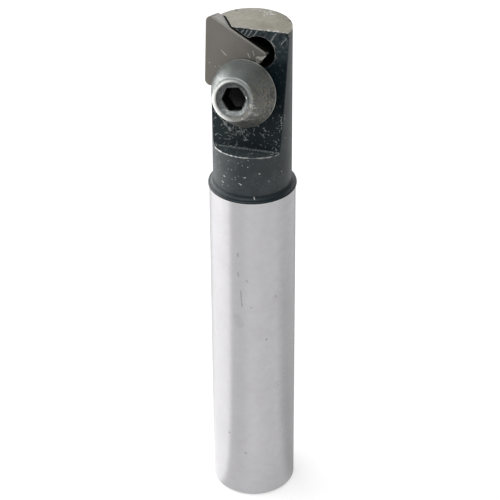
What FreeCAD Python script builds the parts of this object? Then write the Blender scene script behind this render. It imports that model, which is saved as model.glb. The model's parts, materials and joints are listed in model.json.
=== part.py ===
import FreeCAD, Part
import math
import os

# Indexable end mill with one triangular insert, standing on the end of its shank.
# Millimetres and degrees. +Z runs along the tool's axis to the cutting end,
# and the origin is the middle of the shank's end face.

V = FreeCAD.Vector

# Shank, collar and neck, all one turned piece
overall_length = 75.0
shank_diameter = 12.0
shank_length = 51.1
shank_end_chamfer = 0.4
collar_diameter = 12.3
collar_height = 0.3
collar_land = 0.08
collar_crown = 0.03
neck_diameter = 10.9
neck_edge_break = 0.1

# Flat milled on the neck, leaning back towards the cutting end
flat_lean = 6.2
flat_front = 0.945
flat_length = 17.33
flat_corner_radius = 0.3

# Triangular carbide insert, positive type with no hole
insert_side = 11.0
insert_thickness = 3.175
insert_clearance_angle = 11.0
insert_nose_radius = 0.8
insert_heel_radius = 0.2
insert_rise = 0.25
side_reach = 5.97
end_reach = 1.25

# Break at the insert's inner tip: a sloping facet and a steep end
chip_length = 1.79
chip_across = 0.08
chip_slope = 22.0
chip_turn = 12.7
chip_end_back = 1.08
chip_end_turn = -35.0

# Pocket around the insert
upper_wall_gap = 0.2
pocket_tip_cut = 0.6
relief_diameter = 4.65
relief_depth = 4.2
relief_from_tip = 2.34
relief_up = 0.43

# Clamp screw, which leans over the insert
screw_lean = 10.0
screw_from_insert = 2.616
screw_along_insert = 5.142
screw_diameter = 3.95
screw_reach = 7.8
screw_end_chamfer = 0.4
screw_fit = 0.05
clamp_gap = 0.03
head_diameter = 9.2
head_band = 0.25
head_height = 4.25
rim_diameter = 5.9
rim_round = 0.3
dish_diameter = 4.6
dish_depth = 0.47
socket_across_flats = 3.03
socket_depth = 2.45
socket_turn = 9.8

# Seat frame: its origin is the middle of the flat's edge on the end face,
# x runs across the flat, y up the flat and z straight out of it
lean = math.radians(flat_lean)
seat_x = V(1, 0, 0)
seat_y = V(0, math.sin(lean), math.cos(lean))
seat_z = V(0, -math.cos(lean), math.sin(lean))
seat_origin = V(0, -flat_front, overall_length)
seat = FreeCAD.Placement(seat_origin, FreeCAD.Rotation(seat_x, seat_y, seat_z, "ZXY"))

# Insert in the seat frame
tan_clearance = math.tan(math.radians(insert_clearance_angle))
corner_to_nose = (math.sqrt(3) - 1) * insert_nose_radius
insert_inner_radius = insert_side / (2 * math.sqrt(3))
insert_left = -side_reach
insert_middle = V(
    insert_left + insert_inner_radius,
    end_reach + corner_to_nose - insert_side / 2,
    insert_rise,
)
insert_floor = insert_rise - insert_thickness
inner_tip = insert_middle + V(2 * insert_inner_radius, 0, 0)

# Directions of the insert's lower edge and of the clamp screw
edge_along = V(math.cos(math.radians(30)), math.sin(math.radians(30)), 0)
edge_out = V(math.sin(math.radians(30)), -math.cos(math.radians(30)), 0)
lower_corner = insert_middle + V(-insert_inner_radius, -insert_side / 2, 0)
sin_lean = math.sin(math.radians(screw_lean))
cos_lean = math.cos(math.radians(screw_lean))
screw_axis = V(0, 0, cos_lean) - edge_out * sin_lean
head_radius = head_diameter / 2
head_lift = (head_radius * sin_lean + clamp_gap) / cos_lean
screw_crossing = lower_corner + edge_along * screw_along_insert + edge_out * screw_from_insert
head_base = screw_crossing + screw_axis * head_lift
screw_radius = screw_diameter / 2


def rounded_triangle(middle, inner_radius, corner_radius):
    """Wire of an equilateral triangle pointing along +x, with rounded corners."""
    edges = []
    corner_distance = 2 * (inner_radius - corner_radius)
    centres = []
    for turn in (0, 120, 240):
        away = V(math.cos(math.radians(turn)), math.sin(math.radians(turn)), 0)
        centres.append(middle + away * corner_distance)
    for index, turn in enumerate((0, 120, 240)):
        points = []
        for step in (-60, 0, 60):
            angle = math.radians(turn + step)
            points.append(centres[index] + V(math.cos(angle), math.sin(angle), 0) * corner_radius)
        edges.append(Part.Arc(*points).toShape())
        leave = math.radians(turn + 60)
        side = V(math.cos(leave), math.sin(leave), 0) * corner_radius
        following = centres[(index + 1) % 3]
        edges.append(Part.makeLine(centres[index] + side, following + side))
    return Part.Wire(edges)


def insert_solid():
    """Triangular prism that narrows from the rake face to its back."""
    top = rounded_triangle(insert_middle, insert_inner_radius, insert_nose_radius)
    heel_middle = V(insert_middle.x, insert_middle.y, insert_floor)
    heel_inner_radius = insert_inner_radius - insert_thickness * tan_clearance
    heel = rounded_triangle(heel_middle, heel_inner_radius, insert_heel_radius)
    body = Part.makeLoft([heel, top], True, True)
    return body.cut(chip_tool()).cut(chip_end_tool())


def chip_tool():
    """Block whose lower face is the broken facet at the insert's inner tip."""
    block = Part.makeBox(2 * chip_length, insert_side, insert_thickness)
    block.translate(V(0, -insert_side, 0))
    block.rotate(V(0, 0, 0), V(1, 0, 0), chip_slope)
    block.rotate(V(0, 0, 0), V(0, 0, 1), chip_turn)
    start = inner_tip + V(-insert_nose_radius - chip_length, -chip_across, 0)
    block.translate(start)
    return block


def chip_end_tool():
    """Block whose near face is the steep end of the break."""
    block = Part.makeBox(insert_side, insert_side, 3 * insert_thickness)
    block.translate(V(-chip_end_back, -insert_side / 2, -2 * insert_thickness))
    block.rotate(V(0, 0, 0), V(0, 0, 1), chip_end_turn)
    block.translate(inner_tip)
    return block


def wall_outline(height):
    """The pocket's two walls at one height, open past the tool's side and cut short in the relief hole."""
    offset = (height - insert_rise) * tan_clearance
    upper = insert_inner_radius + offset + upper_wall_gap
    lower = insert_inner_radius + offset
    centre = V(insert_middle.x, insert_middle.y, height)
    rise = (upper - lower) / math.sqrt(3)
    tip = centre + V(upper + lower, rise, 0)
    upper_way = V(-edge_along.x, edge_along.y, 0)
    start = pocket_tip_cut / edge_along.x
    run = insert_side + collar_diameter
    corners = [
        tip + upper_way * start,
        tip + upper_way * run,
        tip - edge_along * run,
        tip - edge_along * start,
    ]
    return Part.makePolygon(corners + corners[:1])


def pocket_tool():
    """Seat of the insert: a floor and two walls that lean as its flanks do."""
    walls = [wall_outline(insert_floor), wall_outline(neck_diameter / 2)]
    return Part.makeLoft(walls, True, True)


def flat_tool():
    """Block that mills the flat, with a rounded inner corner at its foot."""
    width = 2 * collar_diameter
    block = Part.makeBox(width, flat_length + neck_diameter, neck_diameter)
    block.translate(V(-width / 2, -flat_length, 0))
    foot = []
    for edge in block.Edges:
        middle = edge.CenterOfMass
        if abs(middle.y + flat_length) < 1e-6 and abs(middle.z) < 1e-6:
            foot.append(edge)
    return block.makeFillet(flat_corner_radius, foot)


def relief_tool():
    """Hole that clears the insert's inner tip."""
    middle = inner_tip + V(-relief_from_tip, relief_up, 0)
    bottom = V(middle.x, middle.y, -relief_depth)
    return Part.makeCylinder(relief_diameter / 2, relief_depth + neck_diameter, bottom)


def screw_hole_tool():
    """Hole for the clamp screw, right through the neck."""
    run = 2 * neck_diameter
    start = head_base - screw_axis * run
    return Part.makeCylinder(screw_radius + screw_fit, run + head_lift, start, screw_axis)


def turned_blank():
    """Shank, collar with a crowned rim and a concave shoulder, and neck, as one revolved profile."""
    shank_radius = shank_diameter / 2
    collar_radius = collar_diameter / 2
    neck_radius = neck_diameter / 2
    shoulder = collar_radius - collar_land - neck_radius
    collar_top = shank_length + collar_height
    rim_top = collar_top - collar_land
    rim_edge = collar_radius - collar_crown
    rim_middle = V(collar_radius, 0, (shank_length + rim_top) / 2)
    hollow_x = neck_radius + shoulder
    hollow_z = collar_top + shoulder
    diagonal = shoulder * math.sqrt(0.5)
    outline = [
        Part.makeLine(V(0, 0, 0), V(shank_radius - shank_end_chamfer, 0, 0)),
        Part.makeLine(V(shank_radius - shank_end_chamfer, 0, 0), V(shank_radius, 0, shank_end_chamfer)),
        Part.makeLine(V(shank_radius, 0, shank_end_chamfer), V(shank_radius, 0, shank_length)),
        Part.makeLine(V(shank_radius, 0, shank_length), V(rim_edge, 0, shank_length)),
        Part.Arc(V(rim_edge, 0, shank_length), rim_middle, V(rim_edge, 0, rim_top)).toShape(),
        Part.makeLine(V(rim_edge, 0, rim_top), V(hollow_x, 0, collar_top)),
        Part.Arc(
            V(hollow_x, 0, collar_top),
            V(hollow_x - diagonal, 0, hollow_z - diagonal),
            V(neck_radius, 0, hollow_z),
        ).toShape(),
        Part.makeLine(V(neck_radius, 0, hollow_z), V(neck_radius, 0, overall_length - neck_edge_break)),
        Part.makeLine(
            V(neck_radius, 0, overall_length - neck_edge_break),
            V(neck_radius - neck_edge_break, 0, overall_length),
        ),
        Part.makeLine(V(neck_radius - neck_edge_break, 0, overall_length), V(0, 0, overall_length)),
        Part.makeLine(V(0, 0, overall_length), V(0, 0, 0)),
    ]
    face = Part.Face(Part.Wire(outline))
    return face.revolve(V(0, 0, 0), V(0, 0, 1), 360)


def cutter_body():
    """Turned blank with the flat, the insert's pocket, its relief and the screw's hole."""
    body = turned_blank()
    for tool in (flat_tool(), pocket_tool(), relief_tool(), screw_hole_tool()):
        tool.Placement = seat.multiply(tool.Placement)
        body = body.cut(tool)
    return body


def carbide_insert():
    """The insert, seated on the pocket's floor and its lower wall."""
    insert = insert_solid()
    insert.Placement = seat.multiply(insert.Placement)
    return insert


def screw_blank():
    """Conical head, its sloping underside and the plain shank, turned about +Z."""
    slope = math.tan(math.radians(screw_lean))
    neck_z = -(head_radius - screw_radius) * slope
    rim_radius = rim_diameter / 2
    dish_radius = dish_diameter / 2
    socket_corner = socket_across_flats / math.sqrt(3)
    profile = Part.makePolygon(
        [
            V(0, 0, -screw_reach),
            V(screw_radius - screw_end_chamfer, 0, -screw_reach),
            V(screw_radius, 0, -screw_reach + screw_end_chamfer),
            V(screw_radius, 0, neck_z),
            V(head_radius, 0, 0),
            V(head_radius, 0, head_band),
            V(rim_radius, 0, head_height),
            V(dish_radius, 0, head_height),
            V(socket_corner, 0, head_height - dish_depth),
            V(0, 0, head_height - dish_depth),
            V(0, 0, -screw_reach),
        ]
    )
    blank = Part.Face(profile).revolve(V(0, 0, 0), V(0, 0, 1), 360)
    rim = []
    for edge in blank.Edges:
        circle = edge.Curve
        if isinstance(circle, Part.Circle) and abs(circle.Radius - rim_radius) < 1e-6:
            rim.append(edge)
    return blank.makeFillet(rim_round, rim)


def socket_tool():
    """Hexagon socket with a shallow drilled point at its bottom."""
    corner_radius = socket_across_flats / math.sqrt(3)
    corners = []
    for index in range(7):
        angle = math.radians(60 * index + socket_turn)
        corners.append(V(corner_radius * math.cos(angle), corner_radius * math.sin(angle), 0))
    bottom = head_height - dish_depth - socket_depth
    hexagon = Part.Face(Part.makePolygon(corners)).extrude(V(0, 0, socket_depth + dish_depth))
    hexagon.translate(V(0, 0, bottom))
    point_radius = socket_across_flats / 2
    point_depth = point_radius * math.tan(math.radians(30))
    point = Part.makeCone(0, point_radius, point_depth, V(0, 0, bottom - point_depth))
    return hexagon.fuse(point)


def clamp_screw():
    """The clamp screw, leaning over the insert's lower edge."""
    screw = screw_blank().cut(socket_tool())
    across = seat_x - screw_axis * screw_axis.dot(V(1, 0, 0))
    across.normalize()
    turned = FreeCAD.Rotation(across, screw_axis.cross(across), screw_axis, "ZXY")
    screw.Placement = seat.multiply(FreeCAD.Placement(head_base, turned))
    return screw


def build():
    """Write one STEP file for each piece."""
    os.makedirs("parts", exist_ok=True)
    pieces = {
        "cutter_body": cutter_body(),
        "carbide_insert": carbide_insert(),
        "clamp_screw": clamp_screw(),
    }
    for name, shape in pieces.items():
        shape.exportStep("parts/" + name + ".step")
    return pieces


build()
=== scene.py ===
import json
import math

import bmesh
import bpy
from mathutils import Matrix, Vector, noise


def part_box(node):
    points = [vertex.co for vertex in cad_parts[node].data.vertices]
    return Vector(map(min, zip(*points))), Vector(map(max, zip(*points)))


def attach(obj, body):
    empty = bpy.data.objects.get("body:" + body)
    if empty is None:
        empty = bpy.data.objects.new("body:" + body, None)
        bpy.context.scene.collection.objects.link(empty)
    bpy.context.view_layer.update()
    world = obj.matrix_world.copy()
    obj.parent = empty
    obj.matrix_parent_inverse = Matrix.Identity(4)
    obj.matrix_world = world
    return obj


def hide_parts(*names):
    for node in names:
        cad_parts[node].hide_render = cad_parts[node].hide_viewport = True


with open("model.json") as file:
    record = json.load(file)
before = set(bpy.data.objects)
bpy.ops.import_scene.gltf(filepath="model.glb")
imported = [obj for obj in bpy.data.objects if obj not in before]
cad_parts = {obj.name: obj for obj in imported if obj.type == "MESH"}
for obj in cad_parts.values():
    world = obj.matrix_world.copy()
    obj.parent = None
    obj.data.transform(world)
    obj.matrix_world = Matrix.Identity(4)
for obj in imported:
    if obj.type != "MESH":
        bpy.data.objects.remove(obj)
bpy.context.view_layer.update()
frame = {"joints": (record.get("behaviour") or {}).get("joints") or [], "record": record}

# Indexable end mill with a triangular carbide insert, on a pale floor in soft studio light.
# Lengths are metres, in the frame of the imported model: +Z runs to the cutting end.

bl_info = {
    "name": "Indexable end mill",
    "version": (1, 0, 0),
    "blender": (4, 5, 0),
    "location": "3D View > Sidebar > End mill",
    "description": "Dresses a small indexable end mill in ground steel, black oxide and carbide",
    "category": "Object",
}

MM = 0.001
MOUNTS = {mount["name"]: mount for mount in frame["record"]["mounts"]}
SCREW_JOINT = frame["joints"][0]
SHANK_RADIUS = MOUNTS["shank"]["dims"]["r_mm"] * MM
OVERALL_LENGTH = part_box("cutter_body")[1].z
SCREW_BASE = Vector(SCREW_JOINT["pos_m"])
SCREW_AXIS = Vector(SCREW_JOINT["axis"]).normalized()


def length(name, description, default_mm):
    """A size that shows in scene units."""
    return bpy.props.FloatProperty(
        name=name, description=description, default=default_mm * MM, unit="LENGTH", precision=5
    )


def degrees(name, description, default):
    """An angle that shows in degrees."""
    return bpy.props.FloatProperty(
        name=name, description=description, default=math.radians(default), subtype="ANGLE"
    )


def colour(name, description, default):
    """A linear colour."""
    return bpy.props.FloatVectorProperty(
        name=name, description=description, default=default, subtype="COLOR", min=0.0, max=1.0
    )


class BodySizes(bpy.types.PropertyGroup):
    """Sizes of the turned and milled body."""

    shank_length: length("Shank length", "From the end face to the collar", 51.1)
    end_chamfer: length("End chamfer", "Chamfer round the shank's end", 0.4)
    collar_radius: length("Collar radius", "Largest radius of the collar's rim", 6.15)
    collar_height: length("Collar height", "Height of the collar's rim with its slope", 0.3)
    collar_land: length("Collar land", "Slope between the rim and the hollow", 0.08)
    collar_crown: length("Collar crown", "How far the rim bulges", 0.03)
    neck_radius: length("Neck radius", "Radius of the neck and head", 5.45)
    flat_lean: degrees("Flat lean", "How far the flat leans back", 6.2)
    flat_front: length("Flat front", "From the axis to the flat on the end face", 0.945)
    flat_length: length("Flat length", "Length of the flat along itself", 17.33)
    flat_corner: length("Flat corner", "Rounding at the flat's foot", 0.3)
    upper_wall_gap: length("Upper wall gap", "Gap between the insert and the pocket's upper wall", 0.2)
    pocket_tip_cut: length("Pocket tip cut", "How far the pocket stops short of its corner", 0.6)
    relief_radius: length("Relief radius", "Radius of the hole that clears the insert's tip", 2.325)
    relief_depth: length("Relief depth", "Depth of that hole below the flat", 4.2)
    relief_from_tip: length("Relief from tip", "From the insert's tip to that hole's middle", 2.34)
    relief_up: length("Relief up", "How far that hole lies up the flat from the tip", 0.43)
    bore_radius: length("Bore radius", "Radius of the clamp screw's hole", 2.025)
    worn_width: length("Worn width", "Width of the worn edges", 0.12)


class InsertSizes(bpy.types.PropertyGroup):
    """Sizes of the triangular insert."""

    side: length("Side", "Edge of the sharp triangle", 11.0)
    thickness: length("Thickness", "From the rake face to the back", 3.175)
    clearance: degrees("Clearance", "Lean of the flanks", 11.0)
    nose_radius: length("Nose radius", "Rounding of the corners", 0.8)
    heel_radius: length("Heel radius", "Rounding of the corners at the back", 0.2)
    rise: length("Rise", "How far the rake face stands out of the flat", 0.25)
    side_reach: length("Side reach", "From the axis to the side cutting edge", 5.97)
    end_reach: length("End reach", "From the end face to the outer corner", 1.25)
    edge_land: length("Edge land", "Width of the narrow land along the cutting edges", 0.3)
    edge_drop: length("Edge drop", "How far that land falls to the edge", 0.03)
    chip_length: length("Chip length", "Length of the break at the inner tip", 1.79)
    chip_across: length("Chip across", "Where the break starts across the tip", 0.08)
    chip_slope: degrees("Chip slope", "Slope of the break", 22.0)
    chip_turn: degrees("Chip turn", "Turn of the break in the rake face", 12.7)
    chip_end_back: length("Chip end", "From the sharp inner tip to the steep end of the break", 1.08)
    chip_end_turn: degrees("Chip end turn", "Direction in which that end faces", -35.0)
    chip_corner_back: length("Chip corner", "From the sharp inner tip to the blunt corner", 1.05)
    chip_corner_turn: degrees("Chip corner turn", "Direction in which that corner faces", 14.0)


class ScrewSizes(bpy.types.PropertyGroup):
    """Sizes of the clamp screw."""

    radius: length("Radius", "Outer radius of the thread", 1.975)
    reach: length("Reach", "From under the head to the screw's end", 7.8)
    pitch: length("Pitch", "Rise of the thread in one turn", 0.7)
    end_chamfer: length("End chamfer", "Chamfer on the screw's end", 0.4)
    head_lean: degrees("Underside slope", "Slope of the head's underside", 10.0)
    head_radius: length("Head radius", "Largest radius of the head", 4.6)
    head_band: length("Head band", "Height of the band round the head's foot", 0.25)
    head_height: length("Head height", "From the underside's edge to the rim", 4.25)
    rim_radius: length("Rim radius", "Outer radius of the rim", 2.95)
    rim_round: length("Rim round", "Rounding of the rim", 0.3)
    dish_radius: length("Dish radius", "Radius of the dish inside the rim", 2.3)
    dish_depth: length("Dish depth", "Depth of the dish", 0.47)
    socket_flats: length("Socket", "Hexagon across its flats", 3.03)
    socket_depth: length("Socket depth", "Depth of the hexagon", 2.45)
    socket_turn: degrees("Socket turn", "Turn of the hexagon about the screw", 9.8)


class Finish(bpy.types.PropertyGroup):
    """Colours of the surfaces."""

    ground_steel: colour("Ground steel", "Shank", (0.645, 0.635, 0.65))
    ground_shade: colour("Ground shade", "Blotches on the shank", (0.56, 0.55, 0.565))
    stain: colour("Stain", "Marks on the shank", (0.12, 0.115, 0.11))
    oxide: colour("Black oxide", "Neck and collar", (0.004, 0.010, 0.013))
    # Also the painted reflection towards the milled flat's ends
    oxide_light: colour("Thin oxide", "Paler patches of the oxide", (0.034, 0.044, 0.048))
    milled: colour("Milled flat", "Oxide on the milled flat", (0.003, 0.007, 0.009))
    streak: colour("Streak", "Cutter marks and scratches", (0.30, 0.31, 0.30))
    end_face: colour("End face", "Bare end face", (0.28, 0.27, 0.232))
    end_shade: colour("End shade", "Darker patches of the end face", (0.19, 0.18, 0.145))
    bare: colour("Bare steel", "Worn edges", (0.55, 0.54, 0.52))
    carbide: colour("Carbide", "Rake face of the insert", (0.168, 0.157, 0.141))
    carbide_flank: colour("Carbide flank", "Ground flanks of the insert", (0.14, 0.136, 0.125))
    carbide_break: colour("Carbide break", "Broken carbide", (0.50, 0.49, 0.44))
    # Lighter than the rake face: a painted highlight on the land along the inner cutting edge
    carbide_edge_highlight: colour("Carbide edge", "Land along the cutting edges", (0.27, 0.26, 0.235))
    head_grey: colour("Head grey", "Clamp screw's cone", (0.185, 0.20, 0.195))
    head_shade: colour("Head shade", "Darker mottling on the cone", (0.075, 0.08, 0.075))
    # Painted light: the cone's upper side is blended towards this paler grey
    head_painted_light: colour("Head light", "Upper side of the cone", (0.26, 0.29, 0.285))
    head_tan: colour("Head tan", "Beige mottling on the cone", (0.215, 0.20, 0.165))
    # Near white, for worn edges and a burr, and for painted highlights on the screw's rim and on the
    # shank's edge under the collar
    worn_and_highlight: colour("Head worn", "Rim worn bright", (0.92, 0.92, 0.90))
    dish: colour("Dish", "Countersink round the socket", (0.15, 0.16, 0.163))
    # Near black: painted shade on the walls of the hexagon socket, and the walls of the body's holes
    socket_grey: colour("Socket grey", "Walls of the hexagon socket", (0.010, 0.010, 0.010))
    floor: colour("Floor", "Floor", (0.90, 0.90, 0.90))


class EndMill(bpy.types.PropertyGroup):
    """All that a user would change."""

    body: bpy.props.PointerProperty(type=BodySizes, name="Body")
    insert: bpy.props.PointerProperty(type=InsertSizes, name="Insert")
    screw: bpy.props.PointerProperty(type=ScrewSizes, name="Clamp screw")
    finish: bpy.props.PointerProperty(type=Finish, name="Finish")


# Shader trees


class Tree:
    """A node tree that is filled by short calls."""

    def __init__(self, tree):
        self.tree = tree

    def feed(self, socket, value):
        """Link a socket or set its value."""
        if isinstance(value, bpy.types.NodeSocket):
            self.tree.links.new(value, socket)
        elif socket.type == "RGBA":
            socket.default_value = (*value[:3], 1.0)
        else:
            socket.default_value = value

    def add(self, kind, values=None, **settings):
        """A node with its settings made and its inputs fed by name."""
        node = self.tree.nodes.new(kind)
        for name, value in settings.items():
            setattr(node, name, value)
        for name, value in (values or {}).items():
            self.feed(node.inputs[name], value)
        return node

    def sum(self, operation, *values):
        """One step of arithmetic."""
        node = self.tree.nodes.new("ShaderNodeMath")
        node.operation = operation
        for socket, value in zip(node.inputs, values):
            self.feed(socket, value)
        return node.outputs[0]

    def vector(self, operation, *values):
        """One step of arithmetic on vectors."""
        node = self.tree.nodes.new("ShaderNodeVectorMath")
        node.operation = operation
        for socket, value in zip(node.inputs, values):
            self.feed(socket, value)
        return node.outputs["Value" if operation in ("DOT_PRODUCT", "LENGTH") else "Vector"]

    def fade(self, value, start, end, low=0.0, high=1.0):
        """A smooth change from low to high while a value goes from start to end."""
        node = self.add("ShaderNodeMapRange", interpolation_type="SMOOTHSTEP")
        names = ("Value", "From Min", "From Max", "To Min", "To Max")
        for name, fed in zip(names, (value, start, end, low, high)):
            self.feed(node.inputs[name], fed)
        return node.outputs["Result"]

    def blend(self, share, first, second):
        """A mix of two colours."""
        node = self.add("ShaderNodeMix", data_type="RGBA")
        self.feed(node.inputs[0], share)
        self.feed(node.inputs[6], first)
        self.feed(node.inputs[7], second)
        return node.outputs[2]

    def use(self, group, **values):
        """A placed node group. Underscores in the names stand for spaces."""
        node = self.add("ShaderNodeGroup", node_tree=bpy.data.node_groups[group])
        for name, value in values.items():
            self.feed(node.inputs[name.replace("_", " ")], value)
        return node.outputs[0]

    def cloud(self, where, size):
        """Soft patches of a size in millimetres."""
        return self.use("Cloud", Position=where, Size=size)

    def times(self, first, second):
        """The product of two values."""
        return self.sum("MULTIPLY", first, second)

    def plus(self, first, second):
        """The sum of two values."""
        return self.sum("ADD", first, second)

    def minus(self, first, second):
        """The first value less the second."""
        return self.sum("SUBTRACT", first, second)

    def over(self, first, second):
        """The first value divided by the second."""
        return self.sum("DIVIDE", first, second)

    def dot(self, first, second):
        """How far one vector reaches along another."""
        return self.vector("DOT_PRODUCT", first, second)

    def most(self, *values):
        """The largest of some values."""
        largest = values[0]
        for value in values[1:]:
            largest = self.sum("MAXIMUM", largest, value)
        return largest

    def stretch(self, vector, scale):
        """A vector times a number."""
        inputs = {"Vector": vector, "Scale": scale}
        return self.add("ShaderNodeVectorMath", inputs, operation="SCALE").outputs[0]

    def axis(self, vector, name):
        """One coordinate of a vector."""
        return self.add("ShaderNodeSeparateXYZ", {"Vector": vector}).outputs[name]

    def mm(self, place, name):
        """One coordinate of a place, in millimetres."""
        return self.times(self.axis(place, name), 1.0 / MM)

    def noise(self, where, scale, detail, roughness=0.5):
        """Noise at a place."""
        inputs = {"Vector": where, "Scale": scale, "Detail": detail, "Roughness": roughness}
        return self.add("ShaderNodeTexNoise", inputs).outputs[0]

    def joined(self, **parts):
        """A vector from its coordinates."""
        return self.add("ShaderNodeCombineXYZ", parts).outputs[0]


def new_group(name, output, **inputs):
    """An empty node group: its tree, the values that come in and what it puts out."""
    group = bpy.data.node_groups.new(name, "ShaderNodeTree")
    group.interface.new_socket("Position", in_out="INPUT", socket_type="NodeSocketVector")
    for label, value in inputs.items():
        kind = "NodeSocketVector" if value is None else "NodeSocketFloat"
        socket = group.interface.new_socket(label, in_out="INPUT", socket_type=kind)
        if value is not None:
            socket.default_value = value
    group.interface.new_socket(output, in_out="OUTPUT", socket_type="NodeSocketFloat")
    tree = Tree(group)
    return tree, tree.add("NodeGroupInput").outputs, tree.add("NodeGroupOutput").inputs[0]


def in_units(tree, position, size_mm):
    """A position counted in steps of so many millimetres."""
    return tree.stretch(position, tree.over(1.0 / MM, size_mm))


def make_cloud_group():
    """Soft cloudy patches."""
    tree, given, out = new_group("Cloud", "Value", Size=1.0)
    cloud = tree.noise(in_units(tree, given["Position"], given["Size"]), 1.0, 4.0, 0.55)
    tree.feed(out, tree.fade(cloud, 0.3, 0.7))


def make_grain_group():
    """Fine lines that run round the tool's axis."""
    tree, given, out = new_group("Turned grain", "Value", Along=2.0, Across=0.05)
    wide = in_units(tree, given["Position"], given["Along"])
    fine = in_units(tree, given["Position"], given["Across"])
    where = tree.joined(X=tree.axis(wide, "X"), Y=tree.axis(wide, "Y"), Z=tree.axis(fine, "Z"))
    tree.feed(out, tree.noise(where, 1.0, 2.0, 0.6))


def make_specks_group():
    """Small round specks, a share of one in each cell."""
    tree, given, out = new_group("Specks", "Mask", Spacing=1.0, Size=0.2, Share=0.3)
    where = in_units(tree, given["Position"], given["Spacing"])
    cells = tree.add("ShaderNodeTexVoronoi", {"Vector": where, "Scale": 1.0}).outputs
    pick = tree.add("ShaderNodeSeparateColor", {"Color": cells["Color"]}).outputs[0]
    chosen = tree.sum("LESS_THAN", pick, given["Share"])
    size = tree.times(given["Size"], tree.plus(0.5, tree.noise(where, 6.0, 1.0)))
    tree.feed(out, tree.times(tree.fade(tree.over(cells["Distance"], size), 1.0, 0.6), chosen))


def make_curls_group():
    """Thin curly scratches, in patches."""
    tree, given, out = new_group("Curly scratches", "Mask", Spacing=1.0, Width=0.02, Share=0.5)
    where = in_units(tree, given["Position"], given["Spacing"])
    off = tree.sum("ABSOLUTE", tree.minus(tree.noise(where, 1.0, 3.0), 0.5))
    line = tree.fade(tree.over(off, given["Width"]), 1.0, 0.2)
    start = tree.minus(0.75, tree.times(given["Share"], 0.5))
    patch = tree.fade(tree.noise(where, 2.3, 1.0), start, tree.plus(start, 0.08))
    tree.feed(out, tree.times(line, patch))


def make_streaks_group():
    """Straight streaks along X, in the plane of X and Y."""
    tree, given, out = new_group("Streaks", "Mask", Length=3.0, Width=0.1, Share=0.3)
    along = tree.axis(in_units(tree, given["Position"], given["Length"]), "X")
    across = tree.axis(in_units(tree, given["Position"], given["Width"]), "Y")
    start = tree.minus(0.8, tree.times(given["Share"], 0.4))
    streak = tree.noise(tree.joined(X=along, Y=across), 1.0, 2.0)
    tree.feed(out, tree.fade(streak, start, tree.plus(start, 0.12)))


def make_stroke_group():
    """One scratch between two points of the XY plane, given in millimetres."""
    tree, given, out = new_group("Stroke", "Mask", From=None, To=None, Width=0.1, Bend=0.3)
    flat = tree.vector("MULTIPLY", in_units(tree, given["Position"], 1.0), (1.0, 1.0, 0.0))
    bend = tree.add("ShaderNodeTexNoise", {"Vector": flat, "Scale": 1.6, "Detail": 2.0}).outputs[1]
    bent = tree.vector("MULTIPLY", tree.vector("SUBTRACT", bend, (0.5, 0.5, 0.5)), (3.0, 3.0, 0.0))
    flat = tree.vector("ADD", flat, tree.stretch(bent, given["Bend"]))
    run = tree.vector("SUBTRACT", given["To"], given["From"])
    way = tree.vector("SUBTRACT", flat, given["From"])
    share = tree.over(tree.dot(way, run), tree.dot(run, run))
    share = tree.sum("MINIMUM", tree.most(share, 0.0), 1.0)
    gap = tree.vector("LENGTH", tree.vector("SUBTRACT", way, tree.stretch(run, share)))
    tree.feed(out, tree.fade(tree.over(gap, given["Width"]), 1.0, 0.3))


def make_wear_group():
    """Ragged wear that fades with the distance from an edge, in millimetres."""
    tree, given, out = new_group("Edge wear", "Mask", Distance=0.0, Width=0.2, Raggedness=0.5)
    ragged = tree.noise(in_units(tree, given["Position"], 0.5), 1.0, 4.0)
    push = tree.times(tree.minus(ragged, 0.5), tree.times(given["Raggedness"], 4.0))
    widths = tree.over(given["Distance"], given["Width"])
    tree.feed(out, tree.fade(tree.plus(widths, push), 1.0, 0.0))


def make_groups():
    """Every shared node group, once."""
    makers = {
        "Cloud": make_cloud_group,
        "Turned grain": make_grain_group,
        "Specks": make_specks_group,
        "Curly scratches": make_curls_group,
        "Streaks": make_streaks_group,
        "Stroke": make_stroke_group,
        "Edge wear": make_wear_group,
    }
    for name, make in makers.items():
        if name not in bpy.data.node_groups:
            make()


def empty_tree(owner):
    """The cleared node tree of a material or a world."""
    owner.use_nodes = True
    owner.node_tree.nodes.clear()
    return Tree(owner.node_tree)


def new_material(name, metallic, specular=0.5):
    """A material with its tree, its shader and the place on the piece."""
    make_groups()
    material = bpy.data.materials.new(name)
    tree = empty_tree(material)
    shader = tree.add("ShaderNodeBsdfPrincipled", {"Metallic": metallic, "Specular IOR Level": specular})
    tree.add("ShaderNodeOutputMaterial", {"Surface": shader.outputs[0]})
    place = tree.add("ShaderNodeTexCoord").outputs["Object"]
    return material, tree, shader.inputs, place


def bump(tree, height, strength, distance_mm, under=None):
    """A normal from a height, over an earlier normal if there is one."""
    inputs = {"Strength": strength, "Distance": distance_mm * MM, "Height": height}
    node = tree.add("ShaderNodeBump", inputs)
    if under is not None:
        tree.feed(node.inputs["Normal"], under)
    return node.outputs[0]


def dress(tree, shader, shade, roughness, patches, amount, normal=None):
    """Feed a shader its colour, a roughness that varies with some patches, and a normal."""
    tree.feed(shader["Base Color"], shade)
    tree.feed(shader["Roughness"], tree.plus(roughness, tree.times(patches, amount)))
    if normal is not None:
        tree.feed(shader["Normal"], normal)


def placed(tree, place, frame_of_part):
    """The place on the piece, counted in the frame of one of its parts."""
    turn = frame_of_part.to_euler()
    node = tree.add("ShaderNodeMapping", {"Vector": place}, vector_type="TEXTURE")
    node.inputs["Location"].default_value = frame_of_part.translation
    node.inputs["Rotation"].default_value = turn
    return node.outputs[0]


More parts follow.
